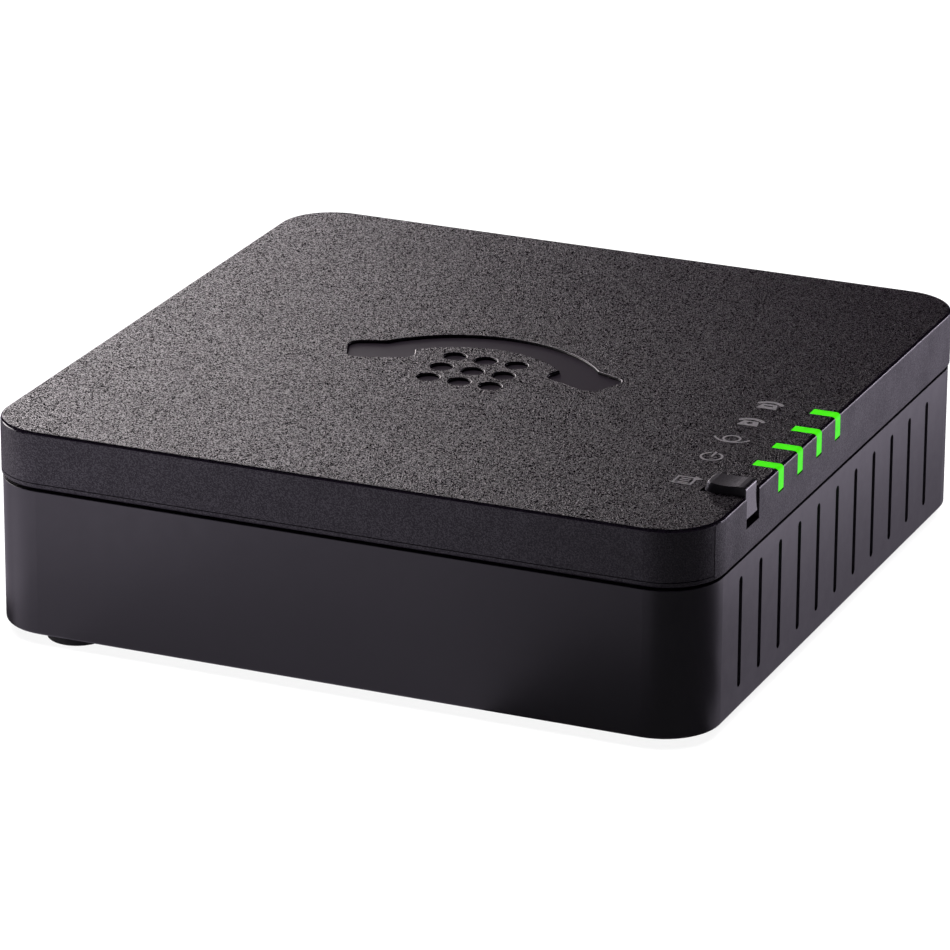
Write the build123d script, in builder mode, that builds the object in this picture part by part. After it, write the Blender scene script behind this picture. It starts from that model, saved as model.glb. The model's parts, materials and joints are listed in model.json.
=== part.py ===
from build123d import *
from math import radians, sin
import os

# A small two-line telephone adapter: a square lower case with vent slots, a top cover with a sprung
# button and four light pipes that wrap over its right edge, and a circuit board with its sockets.
# Millimetres. +X runs right along the front, +Y to the back, +Z up. The origin is on the surface the
# adapter stands on, under the middle of the case.

os.makedirs("parts", exist_ok=True)

# ---- Shell ----
cover_width = 101.0
cover_corner = 8.0
cover_top = 30.0
cover_bottom = 22.2
cover_top_round = 0.5
cover_bottom_chamfer = 0.25
wall = 2.0
case_inset = 0.2
case_width = cover_width - 2 * case_inset
case_corner = cover_corner - case_inset
foot_height = 1.6
case_bottom = foot_height
case_top = 21.8
case_top_round = 0.15
case_edge_round = 0.45
floor_top = case_bottom + wall
cover_inside_top = cover_top - wall
case_inner_width = case_width - 2 * wall
case_side = case_width / 2
cover_side = cover_width / 2
cover_inner_side = cover_side - wall
fit_gap = 0.15

# The tongue under the cover drops inside the case wall and fills the dark groove between the two.
tongue_thickness = 1.2
tongue_bottom = 20.3
tongue_root_top = 24.5
tongue_width = case_inner_width - 2 * fit_gap
tongue_corner = case_corner - wall - fit_gap
tongue_inner_width = tongue_width - 2 * tongue_thickness
tongue_inner_side = tongue_inner_width / 2
tongue_inner_corner = tongue_corner - tongue_thickness

# ---- Vent slots ----
side_slot_count = 11
side_slot_pitch = 7.13
side_slot_middle_y = -0.5
side_slot_width = 1.2
side_slot_bottom = 4.6
side_slot_top = 19.7
side_slot_height = side_slot_top - side_slot_bottom
base_slot_count = 9
base_slot_pitch = 5.0
base_slot_size = (2.0, 13.0)
base_slot_y = -33.0

# ---- Feet, screws and wall fixings ----
foot_radius = 4.1
foot_recess = 0.4
foot_far = 44.6
foot_near = 39.6
foot_places = [
    (-foot_near, -foot_far),
    (foot_far, -foot_near),
    (foot_near, foot_far),
    (-foot_far, foot_near),
]
front_post_x = 36.0
rear_post_x = 38.0
front_post_y = -36.0
rear_post_y = 33.0
post_places = [
    (-front_post_x, front_post_y),
    (front_post_x, front_post_y),
    (rear_post_x, rear_post_y),
    (-rear_post_x, rear_post_y),
]
post_radius = 4.0
post_top = 16.0
cover_boss_radius = 3.4
screw_radius = 1.45
screw_pilot_radius = 1.5
screw_clearance_radius = 1.8
screw_head_radius = 2.75
screw_head_height = 1.8
screw_seat = 7.2
screw_tip = 22.0
screw_pilot_depth = 8.0
counterbore_radius = 3.0
cross_length = 3.0
cross_width = 0.7
cross_depth = 0.8
keyhole_spacing = 60.0
keyhole_y = 14.0
keyhole_radius = 3.5
keyhole_neck_radius = 1.9
keyhole_neck_length = 7.5
label_size = (50.0, 24.0)
label_place = (0, -8)
label_thickness = 0.15
label_recess = 0.25
label_gap = 0.5

# ---- Circuit board ----
board_width = 95.2
board_corner = 5.0
board_bottom = 5.4
board_top = 7.0
board_post_hole = post_radius + 0.4
board_screw_places = [(-43.5, -2), (43.5, 12)]
standoff_places = board_screw_places + [(0, -43.5), (-12, 16)]
standoff_radius = 2.4
board_screw_radius = 0.95
board_screw_hole = 1.0
board_screw_head_radius = 1.9
board_screw_head_height = 1.3
board_screw_tip = 3.9

# ---- Report button ----
button_y = -33.0
button_width = 4.0
button_left = 44.4
button_right = cover_side - 0.25
button_top = 31.2
button_plate = 2.0
button_arm = 1.6
button_arm_bottom = 26.8
button_arm_bend = 29.0
button_arm_flare = 0.2
button_edge_round = 0.2
button_bend_round = 0.5
button_end_round = 1.0
button_end_slope = (0.45, 1.1)
button_dish_radius = 14.0
button_dish_depth = 0.12
button_front_gap = 0.15
button_back_gap = 0.4
button_opening_bottom = 25.7
button_flange = (5.3, 6.2, 1.5)
button_flange_right = 48.2
button_flange_top = cover_inside_top - 0.2
button_neck = (3.3, 3.4)
button_stem = 2.6
button_stem_x = 44.4
button_stem_bottom = 17.05
guide_size = (5.6, 6.6)
guide_bottom = 20.5
guide_gap = 0.3

# ---- Light pipes and their lamps ----
pipe_pitch = 7.05
pipe_first_y = -22.8
pipe_names = ["power", "network", "phone_1", "phone_2"]
pipe_ys = [pipe_first_y + pipe_pitch * i for i in range(len(pipe_names))]
pipe_middle_y = sum(pipe_ys) / len(pipe_ys)
pipe_width = 1.85
pipe_left = 46.85
pipe_arm_bottom = 26.65
pipe_corner_round = 0.5
pipe_tip_round = 0.35
pipe_stem_left = 44.7
pipe_stem_width = 2.0
pipe_stem_x = pipe_stem_left + pipe_stem_width / 2
pipe_bridge_bottom = 26.2
pipe_stem_bottom = 8.4
pipe_slot_gap = 0.04
holder_size = (4.2, 25.6, 8.0)
lamp_size = (1.6, 0.8, 0.8)

# ---- Printed symbols and the sunk emblem on the cover ----
ink_height = 0.03
symbol_x = 41.0
symbol_stroke = 0.29
emblem_depth = 0.4
emblem_rim_round = 0.2
seam_angle = 19.0
seam_width = 0.16
seam_depth = 0.12
seam_y = cover_side - cover_corner * (1 - sin(radians(seam_angle)))
grain_line_bottom = 22.85
grain_line_height = 0.12
grain_line_depth = 0.2

# ---- Sockets along the back ----
socket_face = case_side - 0.3
window_gap = 0.2
network_jack = (16.0, 13.0, 21.0)
network_jack_x = -15.0
network_contact_pitch = 1.02
network_shell = 0.3
network_plug = (11.9, 6.9)
network_cavity_depth = 14.0
network_cavity_bottom = 10.6
phone_jack = (13.2, 11.5, 15.0)
phone_jack_xs = {"phone_jack_1": 25.6, "phone_jack_2": 10.2}
phone_plug = (9.9, 6.6)
phone_contact_pitch = 1.27
phone_cavity_depth = 12.0
phone_cavity_bottom = 9.9
latch_size = (6.3, 1.7)
contact_width = 0.35
contact_thickness = 0.3
contact_setback = 2.6
contact_reach = 7.5
contact_drop = 1.6
power_jack = (9.0, 11.0, 14.4)
power_jack_x = -28.8
power_jack_axis = 13.4
power_bore_radius = 3.2
power_bore_depth = 10.0
power_pin_radius = 1.05
power_pin_tip_round = 0.84
power_spring = (2.0, 6.0, 0.25)
reset_x = -1.8
reset_z = 10.0
reset_hole_radius = 0.9
reset_body = (6.0, 6.0, 4.0)
reset_face = 46.4
reset_plunger_radius = 1.6
reset_plunger_tip = 47.8
reset_plunger_depth = 1.2
reset_bore_depth = 1.6
plunger_gap = 0.08

# ---- Switch under the button ----
button_switch_body = (6.0, 6.0, 3.6)
button_plunger_radius = 1.75
button_plunger_top = 17.0
button_plunger_bottom = 9.6
button_plunger_bore = 2.0


def board_block(place, size):
    """A rectangular part that stands on the board, its middle at place."""
    with BuildSketch(Plane.XY.offset(board_top)) as outline:
        with Locations(place):
            Rectangle(size[0], size[1])
    extrude(outline.sketch, amount=size[2])


def socket_block(x, size):
    """A socket's outer block, standing on the board with its face in a window of the back wall."""
    with BuildSketch(Plane.XZ.offset(-socket_face)) as outline:
        with Locations((x, board_top + size[1] / 2)):
            Rectangle(size[0], size[1])
    extrude(outline.sketch, amount=size[2])


def plug_cavity(x, bottom, plug, depth):
    """The hole that a telephone-style plug goes into, with the notch for its latch below."""
    with BuildSketch(Plane.XZ.offset(-socket_face)) as mouth:
        with Locations((x, bottom + plug[1] / 2)):
            Rectangle(plug[0], plug[1])
        with Locations((x, bottom - latch_size[1] / 2)):
            Rectangle(latch_size[0], latch_size[1])
    extrude(mouth.sketch, amount=depth, mode=Mode.SUBTRACT)


def spring_contacts(x, count, pitch, ceiling):
    """A row of sprung contacts that slope down from the ceiling of a socket's cavity."""
    front = socket_face - contact_setback
    back = front - contact_reach
    for i in range(count):
        left = x + (i - (count - 1) / 2) * pitch - contact_width / 2
        with BuildSketch(Plane.YZ.offset(left)) as strip:
            with BuildLine():
                Polyline(
                    (front, ceiling),
                    (back, ceiling - contact_drop),
                    (back, ceiling - contact_drop - contact_thickness),
                    (front + contact_thickness, ceiling - contact_thickness),
                    (front + contact_thickness, ceiling),
                    close=True,
                )
            make_face()
        extrude(strip.sketch, amount=contact_width)


# ---- Lower case ----
with BuildPart() as lower_case:
    with BuildSketch(Plane.XY.offset(case_bottom)):
        RectangleRounded(case_width, case_width, case_corner)
    extrude(amount=case_top - case_bottom)
    rims = lower_case.faces().sort_by(Axis.Z)
    fillet(rims[0].edges(), radius=case_edge_round)
    fillet(lower_case.faces().sort_by(Axis.Z)[-1].edges(), radius=case_top_round)
    with BuildSketch(Plane.XY.offset(floor_top)):
        RectangleRounded(case_inner_width, case_inner_width, case_corner - wall)
    extrude(amount=case_top - floor_top, mode=Mode.SUBTRACT)
    with BuildSketch(Plane.XY.offset(floor_top)):
        with Locations(*post_places):
            Circle(post_radius)
    extrude(amount=post_top - floor_top)
    with BuildSketch(Plane.XY.offset(floor_top)):
        with Locations(*standoff_places):
            Circle(standoff_radius)
    extrude(amount=board_bottom - floor_top)
    with BuildSketch(Plane.XY.offset(case_bottom)):
        with Locations(*post_places):
            Circle(counterbore_radius)
    extrude(amount=screw_seat - case_bottom, mode=Mode.SUBTRACT)
    with BuildSketch(Plane.XY.offset(case_bottom)):
        with Locations(*post_places):
            Circle(screw_clearance_radius)
    extrude(amount=post_top - case_bottom, mode=Mode.SUBTRACT)
    with BuildSketch(Plane.XY.offset(board_screw_tip - window_gap)):
        with Locations(*board_screw_places):
            Circle(board_screw_hole)
    extrude(amount=board_bottom - board_screw_tip + window_gap, mode=Mode.SUBTRACT)
    with BuildSketch(Plane.XY.offset(case_bottom)):
        with Locations(*foot_places):
            Circle(foot_radius + fit_gap)
    extrude(amount=foot_recess, mode=Mode.SUBTRACT)
    with BuildSketch(Plane.XY.offset(case_bottom)):
        with Locations(label_place):
            Rectangle(*label_size)
    extrude(amount=label_recess, mode=Mode.SUBTRACT)
    with BuildSketch(Plane.XY.offset(case_bottom)):
        with Locations((0, base_slot_y)):
            with GridLocations(base_slot_pitch, 0, base_slot_count, 1):
                SlotOverall(base_slot_size[1], base_slot_size[0], rotation=90)
    extrude(amount=wall, mode=Mode.SUBTRACT)
    with BuildSketch(Plane.XY.offset(case_bottom)):
        with Locations((-keyhole_spacing / 2, keyhole_y), (keyhole_spacing / 2, keyhole_y)):
            Circle(keyhole_radius)
        with Locations(
            (-keyhole_spacing / 2, keyhole_y - keyhole_neck_length / 2),
            (keyhole_spacing / 2, keyhole_y - keyhole_neck_length / 2),
        ):
            SlotCenterToCenter(keyhole_neck_length, 2 * keyhole_neck_radius, rotation=90)
    extrude(amount=wall, mode=Mode.SUBTRACT)
    with BuildSketch(Plane.YZ.offset(-case_side)):
        with Locations((side_slot_middle_y, (side_slot_bottom + side_slot_top) / 2)):
            with GridLocations(side_slot_pitch, 0, side_slot_count, 1):
                SlotOverall(side_slot_height, side_slot_width, rotation=90)
    extrude(amount=case_width, mode=Mode.SUBTRACT)
    with BuildSketch(Plane.XZ.offset(-case_side)):
        for socket_x, socket_size in (
            (network_jack_x, network_jack),
            (phone_jack_xs["phone_jack_1"], phone_jack),
            (phone_jack_xs["phone_jack_2"], phone_jack),
            (power_jack_x, power_jack),
        ):
            with Locations((socket_x, board_top + socket_size[1] / 2)):
                Rectangle(socket_size[0] + 2 * window_gap, socket_size[1] + 2 * window_gap)
        with Locations((reset_x, reset_z)):
            Circle(reset_hole_radius)
    extrude(amount=wall, mode=Mode.SUBTRACT)
lower_case.part.label = "lower_case"
export_step(lower_case.part, "parts/lower_case.step")

# ---- Outlines of the emblem: a telephone handset over the nine dots of a keypad ----
handset_arc = CenterArc((0, -10.5), 17.0, 38, 104)
handset_band = 4.8
earpiece_size = (9.0, 6.6)
earpiece_round = 1.6
earpiece_place = (14.8, -2.0)
earpiece_turn = 22
keypad_spacing = 4.5
keypad_middle = (0, -5.3)
keypad_dot_radius = 1.5

# ---- Top cover ----
with BuildPart() as top_cover:
    with BuildSketch(Plane.XY.offset(cover_bottom)):
        RectangleRounded(cover_width, cover_width, cover_corner)
    extrude(amount=cover_top - cover_bottom)
    cover_rims = top_cover.faces().sort_by(Axis.Z)
    fillet(cover_rims[-1].edges(), radius=cover_top_round)
    chamfer(top_cover.faces().sort_by(Axis.Z)[0].edges(), length=cover_bottom_chamfer)
    with BuildSketch(Plane.XY.offset(tongue_root_top)):
        RectangleRounded(cover_width - 2 * wall, cover_width - 2 * wall, cover_corner - wall)
    extrude(amount=cover_inside_top - tongue_root_top, mode=Mode.SUBTRACT)
    with BuildSketch(Plane.XY.offset(tongue_bottom)):
        RectangleRounded(tongue_width, tongue_width, tongue_corner)
    extrude(amount=tongue_root_top - tongue_bottom)
    with BuildSketch(Plane.XY.offset(tongue_bottom)):
        RectangleRounded(tongue_inner_width, tongue_inner_width, tongue_inner_corner)
    extrude(amount=tongue_root_top - tongue_bottom, mode=Mode.SUBTRACT)
    with BuildSketch(Plane.XY.offset(post_top)):
        with Locations(*post_places):
            Circle(cover_boss_radius)
    extrude(amount=cover_inside_top - post_top)
    with BuildSketch(Plane.XY.offset(post_top)):
        with Locations(*post_places):
            Circle(screw_pilot_radius)
    extrude(amount=screw_pilot_depth, mode=Mode.SUBTRACT)
    # The bracket that guides the button's stem, on the inside of the tongue.
    with BuildSketch(Plane.XY.offset(guide_bottom)):
        with Locations((tongue_inner_side - guide_size[0] / 2, button_y)):
            Rectangle(guide_size[0], guide_size[1])
        with Locations((button_stem_x, button_y)):
            Rectangle(button_stem + 2 * guide_gap, button_stem + 2 * guide_gap, mode=Mode.SUBTRACT)
    extrude(amount=tongue_root_top - guide_bottom)
    # The button's opening, cut from the top face down into the right side.
    with BuildSketch(Plane.XZ.offset(button_width / 2 + button_front_gap - button_y)):
        with BuildLine():
            Polyline(
                (button_left - guide_gap, cover_inside_top),
                (button_left - guide_gap, cover_top),
                (cover_side, cover_top),
                (cover_side, button_opening_bottom),
                (cover_inner_side, button_opening_bottom),
                (cover_inner_side, cover_inside_top),
                close=True,
            )
        make_face()
    extrude(amount=-(button_width + button_front_gap + button_back_gap), mode=Mode.SUBTRACT)
    # Four slots for the light pipes, over the top edge and down the right side.
    for pipe_y in pipe_ys:
        with BuildSketch(Plane.XZ.offset(-pipe_y)):
            with BuildLine():
                Polyline(
                    (pipe_left - pipe_slot_gap, cover_inside_top),
                    (pipe_left - pipe_slot_gap, cover_top),
                    (cover_side, cover_top),
                    (cover_side, pipe_arm_bottom - pipe_slot_gap),
                    (cover_inner_side, pipe_arm_bottom - pipe_slot_gap),
                    (cover_inner_side, cover_inside_top),
                    close=True,
                )
            make_face()
        extrude(amount=pipe_width / 2 + pipe_slot_gap, both=True, mode=Mode.SUBTRACT)
    # The emblem is sunk into the top face.
    with BuildSketch(Plane.XY.offset(cover_top)):
        SlotArc(handset_arc, handset_band)
        with Locations((earpiece_place[0], earpiece_place[1])):
            RectangleRounded(earpiece_size[0], earpiece_size[1], earpiece_round, rotation=-earpiece_turn)
        with Locations((-earpiece_place[0], earpiece_place[1])):
            RectangleRounded(earpiece_size[0], earpiece_size[1], earpiece_round, rotation=earpiece_turn)
        with Locations(keypad_middle):
            with GridLocations(keypad_spacing, keypad_spacing, 3, 3):
                Circle(keypad_dot_radius)
    extrude(amount=-emblem_depth, mode=Mode.SUBTRACT)
    emblem_outlines = top_cover.faces().sort_by(Axis.Z)[-1].inner_wires()
    fillet([rim for outline in emblem_outlines for rim in outline.edges()], radius=emblem_rim_round)
    # Fine seams at both ends of the right side, where the mould's slide meets the rest.
    with BuildSketch(Plane.XY.offset(cover_bottom)):
        for end in (-1, 1):
            with Locations((cover_side - cover_corner, end * (cover_side - cover_corner))):
                with PolarLocations(cover_corner, 1, start_angle=end * seam_angle):
                    Rectangle(2 * seam_depth, seam_width)
    extrude(amount=cover_top - cover_top_round - cover_bottom, mode=Mode.SUBTRACT)
    # A fine line where the sides' grain stops, on all but the right side between the seams.
    with BuildSketch(Plane.XY.offset(grain_line_bottom)):
        RectangleRounded(cover_width, cover_width, cover_corner)
        RectangleRounded(
            cover_width - 2 * grain_line_depth,
            cover_width - 2 * grain_line_depth,
            cover_corner - grain_line_depth,
            mode=Mode.SUBTRACT,
        )
        with Locations((cover_side, 0)):
            Rectangle(cover_corner, 2 * seam_y, mode=Mode.SUBTRACT)
    extrude(amount=grain_line_height, mode=Mode.SUBTRACT)
top_cover.part.label = "top_cover"
export_step(top_cover.part, "parts/top_cover.step")

# ---- Report button ----
with BuildPart() as report_button:
    with BuildSketch(Plane.XZ.offset(-button_y)):
        with BuildLine():
            outline = Polyline(
                (button_right, button_arm_bend),
                (button_right, button_top),
                (button_left + button_end_slope[0], button_top),
                (button_left, button_top - button_end_slope[1]),
                (button_left, button_top - button_plate),
                (button_right - button_arm, button_top - button_plate),
                (button_right - button_arm, button_arm_bottom),
                (button_right + button_arm_flare, button_arm_bottom),
            )
            TangentArc(outline @ 0, outline @ 1, tangent=(0, -1))
        make_face()
    extrude(amount=button_width / 2, both=True)
    end_corners = report_button.edges().filter_by(
        lambda edge: edge.center().X < button_left + button_end_slope[0]
        and abs(edge.center().Y - button_y) > button_width / 2 - fit_gap
    )
    fillet(end_corners, radius=button_end_round)
    fillet(report_button.faces().sort_by(Axis.Z)[-1].edges().sort_by(Axis.X)[-1], radius=button_bend_round)
    top_rim = report_button.faces().sort_by(Axis.Z)[-1].edges().sort_by(Axis.X)[:-1]
    arm_rim = report_button.edges().filter_by(
        lambda rim: rim.center().X > button_right - fit_gap
        and rim.center().Z < button_top - button_bend_round - fit_gap
        and (rim.center().Z < button_arm_bottom + fit_gap or abs(rim.center().Y - button_y) > fit_gap)
    )
    bend_rim = report_button.edges().filter_by(GeomType.CIRCLE).filter_by(
        lambda rim: rim.center().X > button_right - button_bend_round
    )
    fillet(top_rim + arm_rim + bend_rim, radius=button_edge_round)
    dish_axis_z = button_top - button_dish_depth + button_dish_radius
    with BuildSketch(Plane.XZ.offset(-button_y)):
        with Locations(((button_left + button_right) / 2, dish_axis_z)):
            Circle(button_dish_radius)
    extrude(amount=button_width, both=True, mode=Mode.SUBTRACT)
    with BuildSketch(Plane.XY.offset(button_flange_top)):
        with Locations((button_flange_right - button_neck[0] / 2, button_y)):
            Rectangle(*button_neck)
    extrude(amount=button_top - button_plate - button_flange_top)
    with BuildSketch(Plane.XY.offset(button_flange_top - button_flange[2])):
        with Locations((button_flange_right - button_flange[0] / 2, button_y)):
            Rectangle(button_flange[0], button_flange[1])
    extrude(amount=button_flange[2])
    with BuildSketch(Plane.XY.offset(button_stem_bottom)):
        with Locations((button_stem_x, button_y)):
            Rectangle(button_stem, button_stem)
    extrude(amount=button_flange_top - button_flange[2] - button_stem_bottom)
report_button.part.label = "report_button"
export_step(report_button.part, "parts/report_button.step")

# ---- Light pipes: a bent bar flush with the cover, and a stem down to its lamp ----
for pipe_name, pipe_y in zip(pipe_names, pipe_ys):
    with BuildPart() as light_pipe:
        with BuildSketch(Plane.XZ.offset(-pipe_y)):
            with BuildLine():
                Polyline(
                    (pipe_stem_left, pipe_stem_bottom),
                    (pipe_stem_left, cover_inside_top),
                    (pipe_left, cover_inside_top),
                    (pipe_left, cover_top),
                    (cover_side, cover_top),
                    (cover_side, pipe_arm_bottom),
                    (cover_inner_side, pipe_arm_bottom),
                    (cover_inner_side, pipe_bridge_bottom),
                    (pipe_stem_left + pipe_stem_width, pipe_bridge_bottom),
                    (pipe_stem_left + pipe_stem_width, pipe_stem_bottom),
                    close=True,
                )
            make_face()
        extrude(amount=pipe_width / 2, both=True)
        outer_corner = light_pipe.edges().filter_by(Axis.Y).sort_by(Axis.Z).group_by(Axis.Z)[-1]
        fillet(outer_corner.sort_by(Axis.X)[-1], radius=pipe_corner_round)
        tip_face = light_pipe.faces().filter_by(Axis.X).sort_by(Axis.X)[-1]
        fillet(tip_face.edges().filter_by(Axis.Y).sort_by(Axis.Z)[0], radius=pipe_tip_round)
    light_pipe.part.label = "light_pipe_" + pipe_name
    export_step(light_pipe.part, "parts/light_pipe_" + pipe_name + ".step")

# ---- Light pipe holder: keeps each pipe over its lamp and stops light leaking across ----
with BuildPart() as light_pipe_holder:
    board_block((pipe_stem_x, pipe_middle_y), holder_size)
    with BuildSketch(Plane.XY.offset(board_top)):
        with Locations((pipe_stem_x, pipe_middle_y)):
            with GridLocations(0, pipe_pitch, 1, len(pipe_names)):
                Rectangle(pipe_stem_width + 2 * plunger_gap, pipe_width + 2 * plunger_gap)
    extrude(amount=holder_size[2], mode=Mode.SUBTRACT)
light_pipe_holder.part.label = "light_pipe_holder"
export_step(light_pipe_holder.part, "parts/light_pipe_holder.step")

# ---- Status lamps ----
with BuildPart() as status_lamps:
    for pipe_y in pipe_ys:
        board_block((pipe_stem_x, pipe_y), lamp_size)
status_lamps.part.label = "status_lamps"
export_step(status_lamps.part, "parts/status_lamps.step")

# ---- Printed symbols: two telephones, a ringed globe, a power sign and a report sheet ----
phone_handset = ThreePointArc((-1.55, 0.45), (0, 1.15), (1.55, 0.45))
globe_orbit = ThreePointArc((-2.35, 0.0), (0, -1.35), (2.35, 0.1))
power_ring = CenterArc((0, 0), 1.4, 115, 310)
phone_body = [(-1.0, 0.3), (1.0, 0.3), (1.4, -1.4), (-1.4, -1.4)]
phone_dial_radius = 0.42
globe_radius = 1.25
power_bar_height = 1.8
sheet_size = 2.7
sheet_lines = (0.55, -0.1, -0.75)
sheet_line_length = 1.3
sheet_line_width = 0.25
arrow_place = (1.3, 1.1)
arrow_radius = 0.8
symbol_ys = {"phone_2": -1.8, "phone_1": -8.8, "network": -15.7, "power": -23.0, "report": -32.45}

with BuildPart() as printed_symbols:
    with BuildSketch(Plane.XY.offset(cover_top)):
        with Locations((symbol_x, symbol_ys["phone_1"]), (symbol_x, symbol_ys["phone_2"])):
            SlotArc(phone_handset, 2 * symbol_stroke)
            Polygon(*phone_body, align=None)
        with Locations((symbol_x, symbol_ys["phone_1"] - phone_dial_radius)):
            Circle(phone_dial_radius, mode=Mode.SUBTRACT)
        with Locations((symbol_x, symbol_ys["phone_2"] - phone_dial_radius)):
            Rectangle(3 * phone_dial_radius, phone_dial_radius, mode=Mode.SUBTRACT)
        with Locations((symbol_x, symbol_ys["network"])):
            Circle(globe_radius)
            Circle(globe_radius - symbol_stroke, mode=Mode.SUBTRACT)
            SlotArc(globe_orbit, symbol_stroke)
        with Locations((symbol_x, symbol_ys["power"])):
            SlotArc(power_ring, symbol_stroke)
        with Locations((symbol_x, symbol_ys["power"] + power_bar_height / 2)):
            Rectangle(symbol_stroke, power_bar_height)
        with Locations((symbol_x, symbol_ys["report"])):
            Rectangle(sheet_size, sheet_size)
            Rectangle(sheet_size - 2 * symbol_stroke, sheet_size - 2 * symbol_stroke, mode=Mode.SUBTRACT)
        with Locations(*[(symbol_x, symbol_ys["report"] + line) for line in sheet_lines]):
            Rectangle(sheet_line_length, sheet_line_width)
        with Locations((symbol_x + arrow_place[0], symbol_ys["report"] + arrow_place[1])):
            RegularPolygon(arrow_radius, 3)
    extrude(amount=ink_height)
printed_symbols.part.label = "printed_symbols"
export_step(printed_symbols.part, "parts/printed_symbols.step")

# ---- Case screws, driven from below ----
with BuildPart() as case_screws:
    with BuildSketch(Plane.XY.offset(screw_seat - screw_head_height)):
        with Locations(*post_places):
            Circle(screw_head_radius)
    extrude(amount=screw_head_height)
    with BuildSketch(Plane.XY.offset(screw_seat)):
        with Locations(*post_places):
            Circle(screw_radius)
    extrude(amount=screw_tip - screw_seat)
    chamfer(case_screws.faces().group_by(Axis.Z)[-1].edges(), length=screw_radius / 2)
    with BuildSketch(Plane.XY.offset(screw_seat - screw_head_height)):
        with Locations(*post_places):
            Rectangle(cross_length, cross_width)
            Rectangle(cross_width, cross_length)
    extrude(amount=cross_depth, mode=Mode.SUBTRACT)
case_screws.part.label = "case_screws"
export_step(case_screws.part, "parts/case_screws.step")

# ---- Rubber feet, pressed into shallow recesses ----
with BuildPart() as rubber_feet:
    with BuildSketch():
        with Locations(*foot_places):
            Circle(foot_radius)
    extrude(amount=foot_height + foot_recess)
    fillet(rubber_feet.faces().group_by(Axis.Z)[0].edges(), radius=foot_height / 5)
rubber_feet.part.label = "rubber_feet"
export_step(rubber_feet.part, "parts/rubber_feet.step")

# ---- Rating label, blank ----
with BuildPart() as rating_label:
    with BuildSketch(Plane.XY.offset(case_bottom + label_recess - label_thickness)):
        with Locations(label_place):
            RectangleRounded(label_size[0] - label_gap, label_size[1] - label_gap, label_gap)
    extrude(amount=label_thickness)
rating_label.part.label = "rating_label"
export_step(rating_label.part, "parts/rating_label.step")

# ---- Main board ----
with BuildPart() as main_board:
    with BuildSketch(Plane.XY.offset(board_bottom)):
        RectangleRounded(board_width, board_width, board_corner)
        with Locations(*post_places):
            Circle(board_post_hole, mode=Mode.SUBTRACT)
        with Locations(*board_screw_places):
            Circle(board_screw_hole, mode=Mode.SUBTRACT)
    extrude(amount=board_top - board_bottom)
main_board.part.label = "main_board"
export_step(main_board.part, "parts/main_board.step")

# ---- Board screws ----
with BuildPart() as board_screws:
    with BuildSketch(Plane.XY.offset(board_screw_tip)):
        with Locations(*board_screw_places):
            Circle(board_screw_radius)
    extrude(amount=board_top - board_screw_tip)
    with BuildSketch(Plane.XY.offset(board_top)):
        with Locations(*board_screw_places):
            Circle(board_screw_head_radius)
    extrude(amount=board_screw_head_height)
    fillet(board_screws.faces().group_by(Axis.Z)[-1].edges(), radius=board_screw_head_height / 2)
board_screws.part.label = "board_screws"
export_step(board_screws.part, "parts/board_screws.step")

# ---- Network jack: a metal shell over a plastic insert with eight contacts ----
insert_size = [network_jack[0] - 2 * network_shell, network_jack[1] - network_shell]
insert_depth = network_jack[2] - 2 * network_shell

with BuildPart() as network_jack_insert:
    with BuildSketch(Plane.XZ.offset(network_shell - socket_face)):
        with Locations((network_jack_x, board_top + insert_size[1] / 2)):
            Rectangle(*insert_size)
    extrude(amount=insert_depth)
    plug_cavity(network_jack_x, network_cavity_bottom, network_plug, network_cavity_depth)
network_jack_insert.part.label = "network_jack_insert"
export_step(network_jack_insert.part, "parts/network_jack_insert.step")

with BuildPart() as network_jack_shell:
    socket_block(network_jack_x, network_jack)
    with BuildSketch(Plane.XZ.offset(network_shell - socket_face)):
        with Locations((network_jack_x, board_top + insert_size[1] / 2)):
            Rectangle(*insert_size)
    extrude(amount=insert_depth, mode=Mode.SUBTRACT)
    plug_cavity(network_jack_x, network_cavity_bottom, network_plug, network_shell)
network_jack_shell.part.label = "network_jack_shell"
export_step(network_jack_shell.part, "parts/network_jack_shell.step")

with BuildPart() as network_jack_contacts:
    spring_contacts(network_jack_x, 8, network_contact_pitch, network_cavity_bottom + network_plug[1])
network_jack_contacts.part.label = "network_jack_contacts"
export_step(network_jack_contacts.part, "parts/network_jack_contacts.step")

# ---- Two phone jacks, each with four contacts ----
for jack_name, jack_x in phone_jack_xs.items():
    with BuildPart() as phone_jack_housing:
        socket_block(jack_x, phone_jack)
        plug_cavity(jack_x, phone_cavity_bottom, phone_plug, phone_cavity_depth)
    phone_jack_housing.part.label = jack_name + "_housing"
    export_step(phone_jack_housing.part, "parts/" + jack_name + "_housing.step")

    with BuildPart() as phone_jack_contacts:
        spring_contacts(jack_x, 4, phone_contact_pitch, phone_cavity_bottom + phone_plug[1])
    phone_jack_contacts.part.label = jack_name + "_contacts"
    export_step(phone_jack_contacts.part, "parts/" + jack_name + "_contacts.step")

# ---- Power jack: housing, centre pin and sleeve spring ----
with BuildPart() as power_jack_housing:
    socket_block(power_jack_x, power_jack)
    with BuildSketch(Plane.XZ.offset(-socket_face)):
        with Locations((power_jack_x, power_jack_axis)):
            Circle(power_bore_radius)
    extrude(amount=power_bore_depth, mode=Mode.SUBTRACT)
power_jack_housing.part.label = "power_jack_housing"
export_step(power_jack_housing.part, "parts/power_jack_housing.step")

with BuildPart() as power_jack_pin:
    with BuildSketch(Plane.XZ.offset(power_bore_depth - socket_face)):
        with Locations((power_jack_x, power_jack_axis)):
            Circle(power_pin_radius)
    extrude(amount=-(power_bore_depth - power_pin_radius))
    fillet(power_jack_pin.faces().sort_by(Axis.Y)[-1].edges(), radius=power_pin_tip_round)
power_jack_pin.part.label = "power_jack_pin"
export_step(power_jack_pin.part, "parts/power_jack_pin.step")

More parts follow.
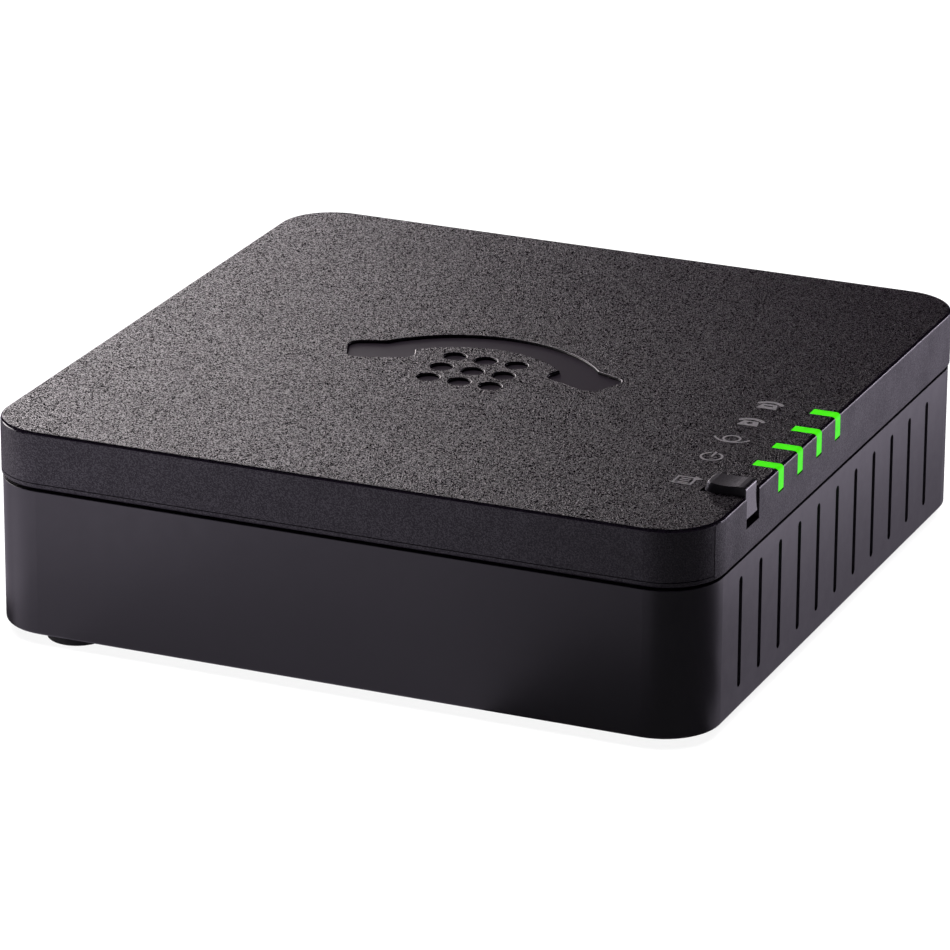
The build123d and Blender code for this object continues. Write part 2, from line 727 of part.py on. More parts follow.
with BuildPart() as power_jack_spring:
    spring_seat = power_jack_axis - (power_bore_radius**2 - (power_spring[0] / 2) ** 2) ** 0.5
    with BuildSketch(Plane.XY.offset(spring_seat)):
        with Locations((power_jack_x, socket_face - power_bore_depth + power_spring[1] / 2)):
            Rectangle(power_spring[0], power_spring[1])
    extrude(amount=power_spring[2])
power_jack_spring.part.label = "power_jack_spring"
export_step(power_jack_spring.part, "parts/power_jack_spring.step")

# ---- Reset switch behind the pinhole ----
with BuildPart() as reset_switch_body:
    board_block((reset_x, reset_face - reset_body[2] / 2), (reset_body[0], reset_body[2], reset_body[1]))
    with BuildSketch(Plane.XZ.offset(-reset_face)):
        with Locations((reset_x, reset_z)):
            Circle(reset_plunger_radius + plunger_gap)
    extrude(amount=reset_bore_depth, mode=Mode.SUBTRACT)
reset_switch_body.part.label = "reset_switch_body"
export_step(reset_switch_body.part, "parts/reset_switch_body.step")

with BuildPart() as reset_switch_plunger:
    with BuildSketch(Plane.XZ.offset(-reset_plunger_tip)):
        with Locations((reset_x, reset_z)):
            Circle(reset_plunger_radius)
    extrude(amount=reset_plunger_tip - reset_face + reset_plunger_depth)
    fillet(reset_switch_plunger.faces().sort_by(Axis.Y)[-1].edges(), radius=button_edge_round)
reset_switch_plunger.part.label = "reset_switch_plunger"
export_step(reset_switch_plunger.part, "parts/reset_switch_plunger.step")

# ---- Switch under the report button ----
with BuildPart() as button_switch:
    board_block((button_stem_x, button_y), button_switch_body)
    with BuildSketch(Plane.XY.offset(board_top + button_switch_body[2])):
        with Locations((button_stem_x, button_y)):
            Circle(button_plunger_radius + plunger_gap)
    extrude(amount=-button_plunger_bore, mode=Mode.SUBTRACT)
button_switch.part.label = "button_switch_body"
export_step(button_switch.part, "parts/button_switch_body.step")

with BuildPart() as button_switch_plunger:
    with BuildSketch(Plane.XY.offset(button_plunger_bottom)):
        with Locations((button_stem_x, button_y)):
            Circle(button_plunger_radius)
    extrude(amount=button_plunger_top - button_plunger_bottom)
    fillet(button_switch_plunger.faces().sort_by(Axis.Z)[-1].edges(), radius=button_edge_round)
button_switch_plunger.part.label = "button_switch_plunger"
export_step(button_switch_plunger.part, "parts/button_switch_plunger.step")

# ---- Rectangular parts on the board: name, places, size ----
processor_place = (8, -6)
processor_size = (14, 14, 1.2)
block_parts = (
    ("processor", [processor_place], processor_size),
    ("memory_chip", [(-14, -6)], (10.2, 22.2, 1.1)),
    ("flash_chip", [(26, -12)], (5.3, 7.8, 1.8)),
    ("line_drivers", [(10.2, 24), (25.6, 24)], (8, 8, 1.0)),
    ("network_transformer", [(-15, 23)], (12.7, 7.4, 5.8)),
    ("ring_transformer", [(-31, 17)], (10, 11, 9)),
    ("surge_arrestors", [(6.6, 31), (13.8, 31), (22.0, 31), (29.2, 31)], (3.6, 5.2, 2.3)),
)
for part_name, places, size in block_parts:
    with BuildPart() as board_part:
        for place in places:
            board_block(place, size)
        fillet(board_part.edges().filter_by(Axis.Z), radius=min(size) / 5)
    board_part.part.label = part_name
    export_step(board_part.part, "parts/" + part_name + ".step")

# ---- Heat sink on the processor, with its pad ----
processor_top = board_top + processor_size[2]
pad_width = 12.0
pad_thickness = 0.8
sink_width = 22.0
sink_base = 1.6
fin_height = 6.0
fin_thickness = 1.2
fin_count = 6

with BuildPart() as thermal_pad:
    with BuildSketch(Plane.XY.offset(processor_top)):
        with Locations(processor_place):
            Rectangle(pad_width, pad_width)
    extrude(amount=pad_thickness)
thermal_pad.part.label = "thermal_pad"
export_step(thermal_pad.part, "parts/thermal_pad.step")

with BuildPart() as heat_sink:
    with BuildSketch(Plane.XY.offset(processor_top + pad_thickness)):
        with Locations(processor_place):
            Rectangle(sink_width, sink_width)
    extrude(amount=sink_base)
    with BuildSketch(Plane.XY.offset(processor_top + pad_thickness + sink_base)):
        with Locations(processor_place):
            with GridLocations((sink_width - fin_thickness) / (fin_count - 1), 0, fin_count, 1):
                Rectangle(fin_thickness, sink_width)
    extrude(amount=fin_height)
heat_sink.part.label = "heat_sink"
export_step(heat_sink.part, "parts/heat_sink.step")

# ---- Electrolytic capacitors ----
capacitor_places = [(-41, -15), (-30, -20), (-32, 3)]
capacitor_radius = 4.0
capacitor_height = 12.0

with BuildPart() as electrolytic_capacitors:
    with BuildSketch(Plane.XY.offset(board_top)):
        with Locations(*capacitor_places):
            Circle(capacitor_radius)
    extrude(amount=capacitor_height)
    fillet(electrolytic_capacitors.faces().group_by(Axis.Z)[-1].edges(), radius=capacitor_radius / 8)
electrolytic_capacitors.part.label = "electrolytic_capacitors"
export_step(electrolytic_capacitors.part, "parts/electrolytic_capacitors.step")

# ---- Power inductor: a round drum ----
inductor_place = (-43, 24)
inductor_radius = 3.4
inductor_waist_radius = 2.7
inductor_flange = 0.9
inductor_height = 4.6

with BuildPart() as power_inductor:
    with BuildSketch(Plane.XY.offset(board_top)):
        with Locations(inductor_place):
            Circle(inductor_radius)
    extrude(amount=inductor_flange)
    with BuildSketch(Plane.XY.offset(board_top)):
        with Locations(inductor_place):
            Circle(inductor_waist_radius)
    extrude(amount=inductor_height)
    with BuildSketch(Plane.XY.offset(board_top + inductor_height - inductor_flange)):
        with Locations(inductor_place):
            Circle(inductor_radius)
    extrude(amount=inductor_flange)
power_inductor.part.label = "power_inductor"
export_step(power_inductor.part, "parts/power_inductor.step")

# ---- Crystal can ----
crystal_place = (10, 10)
crystal_size = (11.0, 4.4)
crystal_height = 3.5

with BuildPart() as crystal:
    with BuildSketch(Plane.XY.offset(board_top)):
        with Locations(crystal_place):
            SlotOverall(*crystal_size)
    extrude(amount=crystal_height)
crystal.part.label = "crystal"
export_step(crystal.part, "parts/crystal.step")

# ---- Small resistors and capacitors in rows on the board ----
chip_part_size = (1.6, 0.8)
chip_part_height = 0.55
chip_rows = [((8, -24), (4.0, 3.0, 5, 3)), ((-14, -26), (4.0, 3.0, 5, 2)), ((32, 4), (3.5, 3.0, 3, 4))]

with BuildPart() as chip_components:
    for row_middle, grid in chip_rows:
        with BuildSketch(Plane.XY.offset(board_top)):
            with Locations(row_middle):
                with GridLocations(*grid):
                    Rectangle(*chip_part_size)
        extrude(amount=chip_part_height)
chip_components.part.label = "chip_components"
export_step(chip_components.part, "parts/chip_components.step")
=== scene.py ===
import json
import math

import bpy
from mathutils import Matrix, Vector


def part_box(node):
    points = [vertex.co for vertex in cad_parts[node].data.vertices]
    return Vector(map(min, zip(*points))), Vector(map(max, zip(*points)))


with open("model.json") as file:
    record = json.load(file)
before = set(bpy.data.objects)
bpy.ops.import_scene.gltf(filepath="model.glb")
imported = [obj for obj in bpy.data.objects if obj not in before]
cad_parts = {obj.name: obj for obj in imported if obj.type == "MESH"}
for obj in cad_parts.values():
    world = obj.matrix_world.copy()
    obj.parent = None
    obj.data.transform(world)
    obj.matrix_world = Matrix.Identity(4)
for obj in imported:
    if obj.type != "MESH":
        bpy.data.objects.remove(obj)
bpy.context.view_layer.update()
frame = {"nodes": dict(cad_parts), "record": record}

MM = 0.001

# ---------------------------------------------------------------- camera
AZIMUTH = 23.151
ELEVATION = 20.494
ROLL = 0.326
DISTANCE = 0.7996
TARGET = Vector((1.229, -7.178, 16.0)) * MM
LENS = 226.26
SENSOR = 36.0


def make_camera():
    """A long lens, front right and above, with the roll that levels the verticals."""
    azimuth, elevation, roll = (math.radians(angle) for angle in (AZIMUTH, ELEVATION, ROLL))
    back = Vector((
        math.sin(azimuth) * math.cos(elevation),
        -math.cos(azimuth) * math.cos(elevation),
        math.sin(elevation),
    ))
    level_right = Vector((math.cos(azimuth), math.sin(azimuth), 0))
    level_up = back.cross(level_right)
    right = math.cos(roll) * level_right + math.sin(roll) * level_up
    up = math.cos(roll) * level_up - math.sin(roll) * level_right
    camera = bpy.data.objects.new("camera", bpy.data.cameras.new("camera"))
    camera.data.sensor_width = SENSOR
    camera.data.lens = LENS
    camera.data.clip_start = 0.01
    camera.data.clip_end = 20
    axes = Matrix((right, up, back)).transposed().to_4x4()
    camera.matrix_world = Matrix.Translation(TARGET + back * DISTANCE) @ axes
    bpy.context.scene.collection.objects.link(camera)
    bpy.context.scene.camera = camera


# ---------------------------------------------------------------- lights and floor
LIGHT_AIM = Vector((0, 0, 15)) * MM
CARD_DEPTH = 0.4
FLOOR_HALF = 6.0
STUDIO_DISTANCE = 0.6
PANEL_DISTANCE = 1.3
PANEL_SIZE = 1.6
WARM = (1.0, 0.93, 0.95)
VIOLET = (1.0, 0.91, 1.1)
WHITE = (1, 1, 1)


def area_light(name, place, size, radiance, colour, lights_only):
    """A rectangular light of width and height size, which lights only one collection."""
    data = bpy.data.lights.new(name, "AREA")
    data.shape = "RECTANGLE"
    data.size, data.size_y = size
    data.energy = radiance * math.pi * size[0] * size[1]
    data.color = colour
    light = bpy.data.objects.new(name, data)
    light.matrix_world = place
    light.visible_camera = False
    light.light_linking.receiver_collection = lights_only
    bpy.context.scene.collection.objects.link(light)
    return light


def soft_box(name, azimuth, elevation, distance, size, radiance, colour, lights_only):
    """A soft box that faces the object from distance metres, azimuth counted from +X towards +Y."""
    azimuth, elevation = math.radians(azimuth), math.radians(elevation)
    outwards = Vector((
        math.cos(azimuth) * math.cos(elevation),
        math.sin(azimuth) * math.cos(elevation),
        math.sin(elevation),
    ))
    turn = outwards.to_track_quat("Z", "Y").to_matrix().to_4x4()
    place = Matrix.Translation(LIGHT_AIM + distance * outwards) @ turn
    return area_light(name, place, size, radiance, colour, lights_only)


def floor_card(name, low, high, radiance, colour, lights_only):
    """A flat light just under the floor, from corner low to corner high in mm, which gloss mirrors."""
    middle = Vector(((low[0] + high[0]) / 2, (low[1] + high[1]) / 2, -CARD_DEPTH)) * MM
    place = Matrix.Translation(middle) @ Matrix.Rotation(math.pi, 4, "X")
    size = ((high[0] - low[0]) * MM, (high[1] - low[1]) * MM)
    area_light(name, place, size, radiance, colour, lights_only)


def make_floor():
    """A plain pale floor that fills the view. In the gloss the cards under it stand in for it."""
    half = FLOOR_HALF
    corners = [(-half, -half, 0), (half, -half, 0), (half, half, 0), (-half, half, 0)]
    mesh = bpy.data.meshes.new("floor")
    mesh.from_pydata(corners, [], [(0, 1, 2, 3)])
    floor = bpy.data.objects.new("floor", mesh)
    bpy.context.scene.collection.objects.link(floor)
    material = bpy.data.materials.new("floor_paper")
    material.use_nodes = True
    shader = material.node_tree.nodes["Principled BSDF"]
    shader.inputs["Base Color"].default_value = (0.86, 0.86, 0.86, 1)
    shader.inputs["Roughness"].default_value = 0.9
    shader.inputs["Specular IOR Level"].default_value = 0.1
    mesh.materials.append(material)
    floor.visible_glossy = False
    floor.visible_shadow = False
    return floor


def collection_of(name, objects):
    """A collection outside the scene, for light linking."""
    group = bpy.data.collections.new(name)
    for member in objects:
        group.objects.link(member)
    return group


def light_scene(floor):
    """Soft boxes and floor cards round the object, dark towards its near corner, and a lit floor."""
    world = bpy.data.worlds.new("studio")
    bpy.context.scene.world = world
    world.use_nodes = True
    background = world.node_tree.nodes["Background"]
    background.inputs["Color"].default_value = (0.5, 0.36, 0.66, 1)
    background.inputs["Strength"].default_value = 0.022
    on_object = collection_of("lit_object", frame["nodes"].values())
    on_button = collection_of("lit_button", [frame["nodes"]["report_button"]])
    on_floor = collection_of("lit_floor", [floor])
    soft_box("back_left_high", 141, 38, 0.3, (0.104, 0.280), 4.3, WARM, on_object)
    soft_box("back_left_low", 124, 8, STUDIO_DISTANCE, (0.17, 0.19), 5.6, WARM, on_object)
    soft_box("left_low", 183, 4, STUDIO_DISTANCE, (0.4, 0.12), 8.0, WARM, on_object)
    soft_box("right_horizon", 57, 5, STUDIO_DISTANCE, (0.25, 0.045), 5.5, VIOLET, on_object)
    soft_box("button_left", 176, 4, STUDIO_DISTANCE, (0.7, 0.25), 12.0, VIOLET, on_button)
    # Name, corner of least x and y and corner of most in mm, radiance.
    for name, low, high, radiance in (
        ("floor_right", (73, 5), (573, 505), 1.45),
        ("floor_right_near", (60, -25), (73, 200), 0.45),
        ("floor_right_under", (49, -42), (60, 200), 0.4),
        ("floor_left", (-500, -585), (-40, -85), 1.5),
        ("floor_middle_left", (-40, -585), (0, -85), 0.7),
        ("floor_middle_right", (0, -585), (40, -85), 0.4),
        ("floor_left_near", (-150, -85), (-40, -49), 0.7),
        ("floor_middle_near", (-40, -85), (20, -49), 0.5),
        ("floor_left_side", (-560, -85), (-60, 0), 0.5),
        ("floor_back", (-560, 75), (40, 575), 1.1),
    ):
        floor_card(name, low, high, radiance, VIOLET, on_object)
    floor_card("floor_far_button", (85, 98), (385, 498), 8.0, VIOLET, on_button)
    panel = (PANEL_SIZE, PANEL_SIZE)
    soft_box("over_floor", 90, 89, PANEL_DISTANCE, panel, 1.0, WHITE, on_floor)
    clear = soft_box("over_floor_clear", 90, 89, PANEL_DISTANCE, panel, 3.9, WHITE, on_floor)
    # Only the floor could block this panel, so the object's shadow stays faint.
    clear.light_linking.blocker_collection = on_floor


# ---------------------------------------------------------------- node helpers
def new_material(name, roughness, specular=0.5, metallic=0.0):
    """A material with its constant settings on the shader's own sockets."""
    material = bpy.data.materials.new(name)
    material.use_nodes = True
    tree = material.node_tree
    shader = tree.nodes["Principled BSDF"]
    shader.inputs["Roughness"].default_value = roughness
    shader.inputs["Specular IOR Level"].default_value = specular
    shader.inputs["Metallic"].default_value = metallic
    return material, tree, shader


def feed(shader, name, value):
    """Links a node's output to one of the shader's inputs."""
    shader.id_data.links.new(value, shader.inputs[name])


def place_on_object(tree):
    """Coordinates in metres that move with the piece."""
    return tree.nodes.new("ShaderNodeTexCoord").outputs["Object"]


def noise(tree, size, detail=2.0, contrast=0.5, stretch=(1, 1, 1)):
    """Noise whose lumps are about size metres across, stretched along an axis where stretch is under 1."""
    scaled = tree.nodes.new("ShaderNodeMapping")
    scaled.inputs["Scale"].default_value = [factor / size for factor in stretch]
    texture = tree.nodes.new("ShaderNodeTexNoise")
    texture.inputs["Scale"].default_value = 1.0
    texture.inputs["Detail"].default_value = detail
    texture.inputs["Roughness"].default_value = contrast
    tree.links.new(place_on_object(tree), scaled.inputs["Vector"])
    tree.links.new(scaled.outputs["Vector"], texture.inputs["Vector"])
    return texture.outputs["Fac"]


def grains(tree, size):
    """A random 0..1 for each grain of about size metres."""
    cells = tree.nodes.new("ShaderNodeTexVoronoi")
    cells.inputs["Scale"].default_value = 1 / size
    tree.links.new(place_on_object(tree), cells.inputs["Vector"])
    parts = tree.nodes.new("ShaderNodeSeparateColor")
    tree.links.new(cells.outputs["Color"], parts.inputs["Color"])
    return parts.outputs["Red"]


def remap(tree, value, low, high, out_low=0.0, out_high=1.0, smooth=False):
    """Turns low..high into out_low..out_high, clamped."""
    node = tree.nodes.new("ShaderNodeMapRange")
    node.interpolation_type = "SMOOTHSTEP" if smooth else "LINEAR"
    limits = {"From Min": low, "From Max": high, "To Min": out_low, "To Max": out_high}
    for socket, number in limits.items():
        node.inputs[socket].default_value = number
    tree.links.new(value, node.inputs["Value"])
    return node.outputs["Result"]


def combine(tree, operation, first, second):
    """One Math node; second may be a socket or a number."""
    node = tree.nodes.new("ShaderNodeMath")
    node.operation = operation
    tree.links.new(first, node.inputs[0])
    if isinstance(second, (int, float)):
        node.inputs[1].default_value = second
    else:
        tree.links.new(second, node.inputs[1])
    return node.outputs["Value"]


def blend_colours(tree, factor, first, second):
    """Mixes two colours by a factor; each colour is three numbers or a socket."""
    node = tree.nodes.new("ShaderNodeMix")
    node.data_type = "RGBA"
    tree.links.new(factor, node.inputs["Factor"])
    for socket, colour in ((node.inputs[6], first), (node.inputs[7], second)):
        if isinstance(colour, tuple):
            socket.default_value = (*colour, 1)
        else:
            tree.links.new(colour, socket)
    return node.outputs[2]


def bump(tree, shader, height, depth):
    """Feeds a height of 0..1 times depth metres to the shader's normal."""
    node = tree.nodes.new("ShaderNodeBump")
    node.inputs["Strength"].default_value = 1.0
    node.inputs["Distance"].default_value = depth
    tree.links.new(height, node.inputs["Height"])
    feed(shader, "Normal", node.outputs["Normal"])


def edge_mask(tree, radius):
    """1 on edges sharper than radius metres, 0 on flats."""
    rounded = tree.nodes.new("ShaderNodeBevel")
    rounded.samples = 4
    rounded.inputs["Radius"].default_value = radius
    flat = tree.nodes.new("ShaderNodeNewGeometry")
    dot = tree.nodes.new("ShaderNodeVectorMath")
    dot.operation = "DOT_PRODUCT"
    tree.links.new(rounded.outputs["Normal"], dot.inputs[0])
    tree.links.new(flat.outputs["Normal"], dot.inputs[1])
    return remap(tree, dot.outputs["Value"], 0.99, 0.8)


def facing_up(tree):
    """The z of the true normal: 1 on the top, 0 on the sides."""
    axes = tree.nodes.new("ShaderNodeSeparateXYZ")
    tree.links.new(tree.nodes.new("ShaderNodeNewGeometry").outputs["True Normal"], axes.inputs["Vector"])
    return axes.outputs["Z"]


def height_on_object(tree):
    """The z in metres that moves with the piece."""
    axes = tree.nodes.new("ShaderNodeSeparateXYZ")
    tree.links.new(place_on_object(tree), axes.inputs["Vector"])
    return axes.outputs["Z"]


# ---------------------------------------------------------------- materials of the shell
COVER_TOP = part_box("top_cover")[1].z
SUNK_BELOW = 0.12 * MM
GRAINED_ABOVE = 0.02 * MM
COARSE_GRAIN = 0.13 * MM
COARSE_LUMPS = 0.18 * MM
FINE_GRAIN = 0.2 * MM
GRAIN_DEPTH = 0.13 * MM


def cover_plastic():
    """Near-black: coarse spark grain on the top face with paler specks of painted glint, fine grain on the
    sides, a smooth sunk emblem painted one even tone in place of its reflection.
    """
    material, tree, shader = new_material("cover_plastic", 0.4)
    upwards = facing_up(tree)
    on_top = remap(tree, upwards, 0.9, 0.99, smooth=True)
    on_side = remap(tree, upwards, 0.4, 0.12, smooth=True)
    height = height_on_object(tree)
    not_sunk = remap(tree, height, COVER_TOP - SUNK_BELOW, COVER_TOP - GRAINED_ABOVE, smooth=True)
    coarse = combine(tree, "MULTIPLY", on_top, not_sunk)
    sunk = combine(tree, "SUBTRACT", on_top, coarse)
    rim = remap(tree, combine(tree, "ADD", on_top, on_side), 0, 1, 1, 0)
    coarse_grain = grains(tree, COARSE_GRAIN)
    lumps = noise(tree, COARSE_LUMPS, detail=1)
    fine_grain = noise(tree, FINE_GRAIN, detail=1)
    coarse_height = combine(tree, "MULTIPLY", lumps, coarse)
    fine_height = combine(tree, "MULTIPLY", combine(tree, "MULTIPLY", fine_grain, on_side), 0.5)
    bump(tree, shader, combine(tree, "ADD", coarse_height, fine_height), GRAIN_DEPTH)
    speckle = remap(tree, coarse_grain, 0.4, 0.75)
    # The top face's grains are painted in paler speckles than the plastic of the sides: a random grain
    # pattern, its paleness painted glint and sheen of the grain.
    top_grain_painted_glint = blend_colours(tree, speckle, (0.006, 0.0045, 0.007), (0.082, 0.066, 0.087))
    plain = blend_colours(tree, noise(tree, 6 * MM), (0.008, 0.0055, 0.0105), (0.0105, 0.008, 0.0135))
    # The sunk emblem floor is painted one even colour, paler than the plain plastic and with little gloss: a
    # painted tone in place of its own dull reflection.
    sunk_painted_tone = blend_colours(tree, sunk, plain, (0.06, 0.048, 0.068))
    feed(shader, "Base Color", blend_colours(tree, coarse, sunk_painted_tone, top_grain_painted_glint))
    coarse_sparkle = combine(tree, "MULTIPLY", remap(tree, speckle, 0, 1, -0.5, 0.6), coarse)
    side_sparkle = combine(tree, "MULTIPLY", remap(tree, speckle, 0, 1, -0.2, 0.2), on_side)
    sparkle = combine(tree, "ADD", coarse_sparkle, side_sparkle)
    smooth_glint = remap(tree, combine(tree, "SUBTRACT", rim, sunk), -1, 1, 0.1, 0.9)
    glint = combine(tree, "ADD", smooth_glint, sparkle)
    feed(shader, "Specular IOR Level", glint)
    coarse_gloss = combine(tree, "MULTIPLY", remap(tree, speckle, 0, 1, 0.56, 0.34), coarse)
    rim_gloss = combine(tree, "MULTIPLY", rim, 0.17)
    smooth_gloss = combine(tree, "ADD", rim_gloss, combine(tree, "MULTIPLY", sunk, 0.45))
    side_gloss = combine(tree, "MULTIPLY", remap(tree, noise(tree, 4 * MM), 0.3, 0.7, 0.46, 0.54), on_side)
    gloss = combine(tree, "ADD", combine(tree, "ADD", coarse_gloss, side_gloss), smooth_gloss)
    feed(shader, "Roughness", gloss)
    return material


def satin_plastic(name, dark, light, roughness, ripple=0.005 * MM):
    """Smooth moulded plastic: faint ripple and flow colour, gloss a little uneven, edges rubbed shinier."""
    material, tree, shader = new_material(name, roughness)
    worn = edge_mask(tree, 0.25 * MM)
    cloud = blend_colours(tree, remap(tree, noise(tree, 9 * MM, detail=3), 0.3, 0.7), dark, light)
    rubbed = tuple(min(1.0, channel * 1.6) for channel in light)
    feed(shader, "Base Color", blend_colours(tree, combine(tree, "MULTIPLY", worn, 0.5), cloud, rubbed))
    smears = noise(tree, 2.5 * MM, detail=4, contrast=0.7)
    uneven = remap(tree, smears, 0.3, 0.7, roughness - 0.03, roughness + 0.03)
    feed(shader, "Roughness", combine(tree, "SUBTRACT", uneven, combine(tree, "MULTIPLY", worn, 0.06)))
    waves = noise(tree, 12 * MM, detail=1)
    pores = combine(tree, "MULTIPLY", noise(tree, 0.12 * MM, detail=1), 0.06)
    bump(tree, shader, combine(tree, "ADD", waves, pores), ripple)
    return material


def button_plastic():
    """Dark grey: a satin top face and glossier sides."""
    material, tree, shader = new_material("button_plastic", 0.3)
    on_top = remap(tree, facing_up(tree), 0.8, 0.97, smooth=True)
    grain = noise(tree, 0.16 * MM, detail=1)
    cloud = blend_colours(tree, noise(tree, 2 * MM, detail=3), (0.02, 0.019, 0.021), (0.026, 0.025, 0.028))
    speckle = remap(tree, grain, 0.35, 0.65)
    # The top face is painted in paler speckles than the sides: a grain pattern, its paleness painted light
    # falling on the top.
    top_painted_lighter_speckle = blend_colours(tree, speckle, (0.05, 0.048, 0.052), (0.12, 0.116, 0.125))
    feed(shader, "Base Color", blend_colours(tree, on_top, cloud, top_painted_lighter_speckle))
    uneven = remap(tree, noise(tree, 1.5 * MM, detail=3), 0.3, 0.7, -0.03, 0.03)
    gloss = combine(tree, "ADD", remap(tree, on_top, 0, 1, 0.19, 0.45), uneven)
    feed(shader, "Roughness", gloss)
    feed(shader, "Specular IOR Level", remap(tree, on_top, 0, 1, 0.2, 0.6))
    bump(tree, shader, combine(tree, "MULTIPLY", grain, on_top), 0.03 * MM)
    return material


def pipe_glow():
    """Lit green light pipe: even glow, a little weaker in patches, under a satin skin."""
    material, tree, shader = new_material("light_pipe", 0.5, specular=0.1)
    patches = remap(tree, noise(tree, 1.2 * MM), 0.3, 0.7)
    glow = blend_colours(tree, patches, (0.055, 0.80, 0.004), (0.072, 0.87, 0.006))
    feed(shader, "Emission Color", glow)
    feed(shader, "Base Color", blend_colours(tree, patches, (0.004, 0.06, 0.002), (0.006, 0.08, 0.003)))
    shader.inputs["Emission Strength"].default_value = 1.0
    return material


def symbol_ink():
    """Pad-printed light grey ink that thins over the grain below it."""
    material, tree, shader = new_material("symbol_ink", 0.5)
    thin = remap(tree, noise(tree, 0.3 * MM, detail=2), 0.3, 0.6)
    feed(shader, "Base Color", blend_colours(tree, thin, (0.62, 0.61, 0.63), (0.93, 0.92, 0.94)))
    bump(tree, shader, noise(tree, 0.26 * MM, detail=2, contrast=0.6), 0.03 * MM)
    return material


def rubber(name, dark, light):
    """Matt rubber with a fine moulded tooth and dusty patches."""
    material, tree, shader = new_material(name, 0.75, specular=0.3)
    dust = remap(tree, noise(tree, 1.5 * MM, detail=4, contrast=0.7), 0.45, 0.75)
    feed(shader, "Base Color", blend_colours(tree, dust, dark, light))
    feed(shader, "Roughness", remap(tree, dust, 0, 1, 0.68, 0.85))
    bump(tree, shader, noise(tree, 0.15 * MM, detail=2), 0.02 * MM)
    return material


def label_film():
    """Satin white film with a faint weave of brush marks and yellowed patches."""
    material, tree, shader = new_material("label_film", 0.45)
    age = remap(tree, noise(tree, 10 * MM, detail=3), 0.35, 0.7)
    feed(shader, "Base Color", blend_colours(tree, age, (0.74, 0.74, 0.73), (0.66, 0.655, 0.62)))
    feed(shader, "Roughness", remap(tree, noise(tree, 1 * MM, detail=3), 0.3, 0.7, 0.38, 0.52))
    bump(tree, shader, noise(tree, 0.4 * MM, detail=2, stretch=(0.15, 1, 1)), 0.006 * MM)
    return material


# ---------------------------------------------------------------- materials of the sockets and the board
def moulded_plastic(name, dark, light, roughness, grain_size, grain_depth):
    """Plain technical plastic or epoxy: even grain, cloudy colour, paler rubbed edges."""
    material, tree, shader = new_material(name, roughness)
    cloud = blend_colours(tree, remap(tree, noise(tree, 3 * MM, detail=4), 0.3, 0.7), dark, light)
    rubbed = tuple(min(1.0, channel * 1.5 + 0.01) for channel in light)
    worn = combine(tree, "MULTIPLY", edge_mask(tree, 0.15 * MM), 0.6)
    feed(shader, "Base Color", blend_colours(tree, worn, cloud, rubbed))
    grain = noise(tree, grain_size, detail=2, contrast=0.6)
    feed(shader, "Roughness", remap(tree, grain, 0.3, 0.7, roughness - 0.08, roughness + 0.08))
    bump(tree, shader, grain, grain_depth)
    return material


def worked_metal(name, dark, light, roughness, stretch):
    """Sheet or plated metal with fine marks drawn along one axis, and dulled patches."""
    material, tree, shader = new_material(name, roughness, metallic=1.0)
    marks = noise(tree, 0.25 * MM, detail=3, contrast=0.7, stretch=stretch)
    dull = remap(tree, noise(tree, 4 * MM, detail=3), 0.4, 0.7)
    feed(shader, "Base Color", blend_colours(tree, dull, light, dark))
    uneven = remap(tree, marks, 0.3, 0.7, roughness - 0.07, roughness + 0.1)
    feed(shader, "Roughness", combine(tree, "ADD", uneven, combine(tree, "MULTIPLY", dull, 0.08)))
    bump(tree, shader, marks, 0.004 * MM)
    return material


def solder_mask():
    """Green mask over copper: lighter tracks in a square maze, with a glossy skin."""
    material, tree, shader = new_material("board", 0.3)
    cells = tree.nodes.new("ShaderNodeTexVoronoi")
    cells.distance = "MANHATTAN"
    cells.feature = "DISTANCE_TO_EDGE"
    cells.inputs["Scale"].default_value = 1 / (3.2 * MM)
    tree.links.new(place_on_object(tree), cells.inputs["Vector"])
    track = remap(tree, cells.outputs["Distance"], 0.08, 0.05)
    cloud = blend_colours(tree, noise(tree, 8 * MM), (0.004, 0.05, 0.014), (0.006, 0.065, 0.02))
    feed(shader, "Base Color", blend_colours(tree, track, cloud, (0.012, 0.13, 0.035)))
    feed(shader, "Roughness", remap(tree, noise(tree, 0.5 * MM, detail=3), 0.3, 0.7, 0.24, 0.36))
    bump(tree, shader, track, 0.03 * MM)
    return material


def lamp_package():
    """Clear lamp moulding, lit from inside."""
    material, tree, shader = new_material("lamp", 0.15)
    haze = remap(tree, noise(tree, 0.4 * MM), 0.3, 0.7)
    feed(shader, "Base Color", blend_colours(tree, haze, (0.5, 0.8, 0.4), (0.6, 0.9, 0.5)))
    feed(shader, "Emission Color", blend_colours(tree, haze, (0.1, 0.8, 0.02), (0.2, 0.9, 0.1)))
    shader.inputs["Emission Strength"].default_value = 1.0
    return material


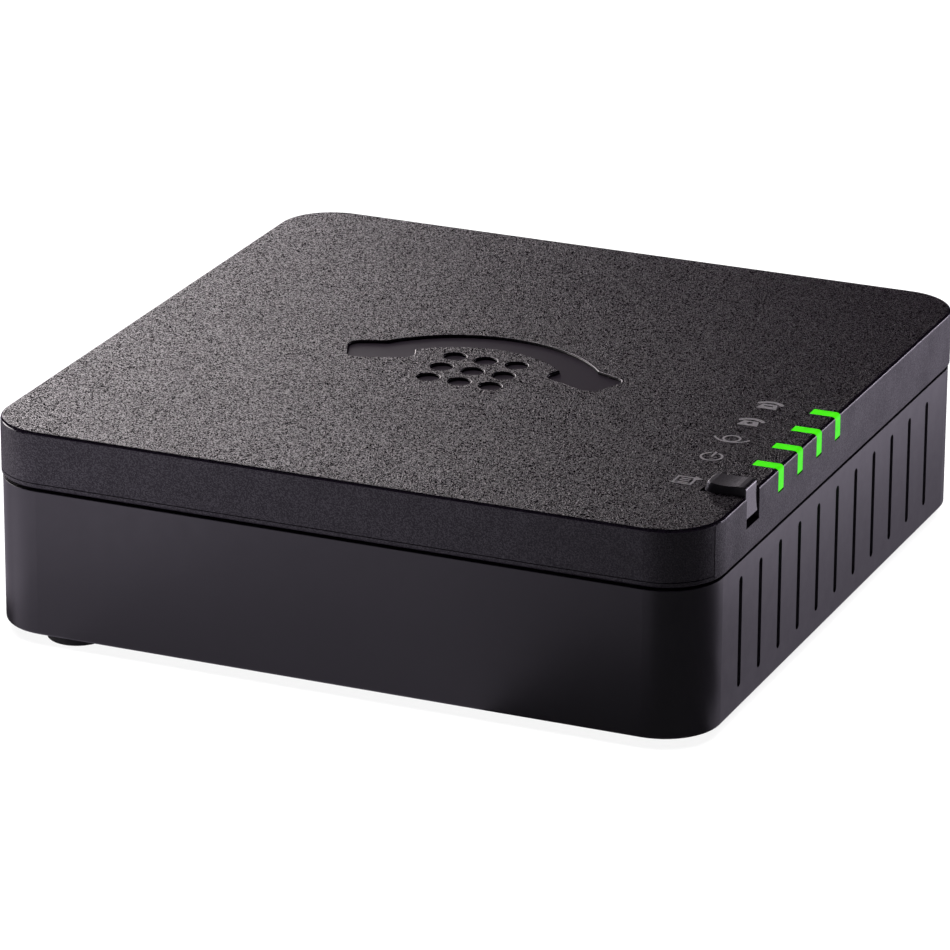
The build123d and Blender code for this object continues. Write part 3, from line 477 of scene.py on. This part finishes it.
def make_materials():
    """One material for each slot in the record."""
    return {
        "cover_plastic": cover_plastic(),
        "case_plastic": satin_plastic("case_plastic", (0.0075, 0.006, 0.0095), (0.0085, 0.007, 0.0105), 0.37),
        "button_plastic": button_plastic(),
        "light_pipe": pipe_glow(),
        "symbol_ink": symbol_ink(),
        "foot_rubber": rubber("foot_rubber", (0.004, 0.004, 0.005), (0.02, 0.02, 0.02)),
        "thermal_pad": rubber("thermal_pad", (0.17, 0.26, 0.34), (0.24, 0.33, 0.42)),
        "label_film": label_film(),
        "steel": worked_metal("steel", (0.32, 0.31, 0.3), (0.55, 0.55, 0.56), 0.3, (1, 1, 0.2)),
        "shield_steel": worked_metal("shield_steel", (0.5, 0.49, 0.47), (0.72, 0.71, 0.7),
                                     0.26, (0.05, 1, 1)),
        "contact_metal": worked_metal("contact_metal", (0.6, 0.38, 0.12), (0.83, 0.58, 0.22),
                                      0.22, (1, 0.1, 1)),
        "heat_sink": worked_metal("heat_sink", (0.45, 0.45, 0.46), (0.62, 0.63, 0.64), 0.34, (1, 0.05, 1)),
        "tinned_part": worked_metal("tinned_part", (0.38, 0.37, 0.35), (0.6, 0.59, 0.57), 0.35, (1, 1, 1)),
        "board": solder_mask(),
        "holder_plastic": moulded_plastic("holder_plastic", (0.008, 0.008, 0.008), (0.012, 0.012, 0.012),
                                          0.5, 0.2 * MM, 0.02 * MM),
        "network_insert": moulded_plastic("network_insert", (0.42, 0.36, 0.02), (0.52, 0.46, 0.04),
                                          0.4, 0.2 * MM, 0.01 * MM),
        "phone_socket": moulded_plastic("phone_socket", (0.1, 0.105, 0.11), (0.13, 0.135, 0.14),
                                        0.42, 0.2 * MM, 0.012 * MM),
        "power_socket": moulded_plastic("power_socket", (0.008, 0.008, 0.009), (0.013, 0.013, 0.014),
                                        0.4, 0.2 * MM, 0.015 * MM),
        "chip_epoxy": moulded_plastic("chip_epoxy", (0.011, 0.011, 0.012), (0.02, 0.02, 0.021),
                                      0.55, 0.12 * MM, 0.02 * MM),
        "switch_plastic": moulded_plastic("switch_plastic", (0.01, 0.01, 0.01), (0.016, 0.016, 0.016),
                                          0.45, 0.2 * MM, 0.015 * MM),
        "plunger_plastic": moulded_plastic("plunger_plastic", (0.52, 0.5, 0.43), (0.6, 0.58, 0.52),
                                           0.4, 0.2 * MM, 0.01 * MM),
        "capacitor_sleeve": moulded_plastic("capacitor_sleeve", (0.006, 0.012, 0.06), (0.009, 0.018, 0.08),
                                            0.28, 0.5 * MM, 0.01 * MM),
        "ferrite": moulded_plastic("ferrite", (0.02, 0.02, 0.022), (0.04, 0.04, 0.043),
                                   0.6, 0.15 * MM, 0.03 * MM),
        "lamp": lamp_package(),
    }


materials = make_materials()
for part in frame["record"]["subparts"]:
    mesh = frame["nodes"][part["node"]].data
    mesh.materials.clear()
    mesh.materials.append(materials[part["material_slot"]])

light_scene(make_floor())
make_camera()
bpy.context.scene.view_settings.view_transform = "Standard"
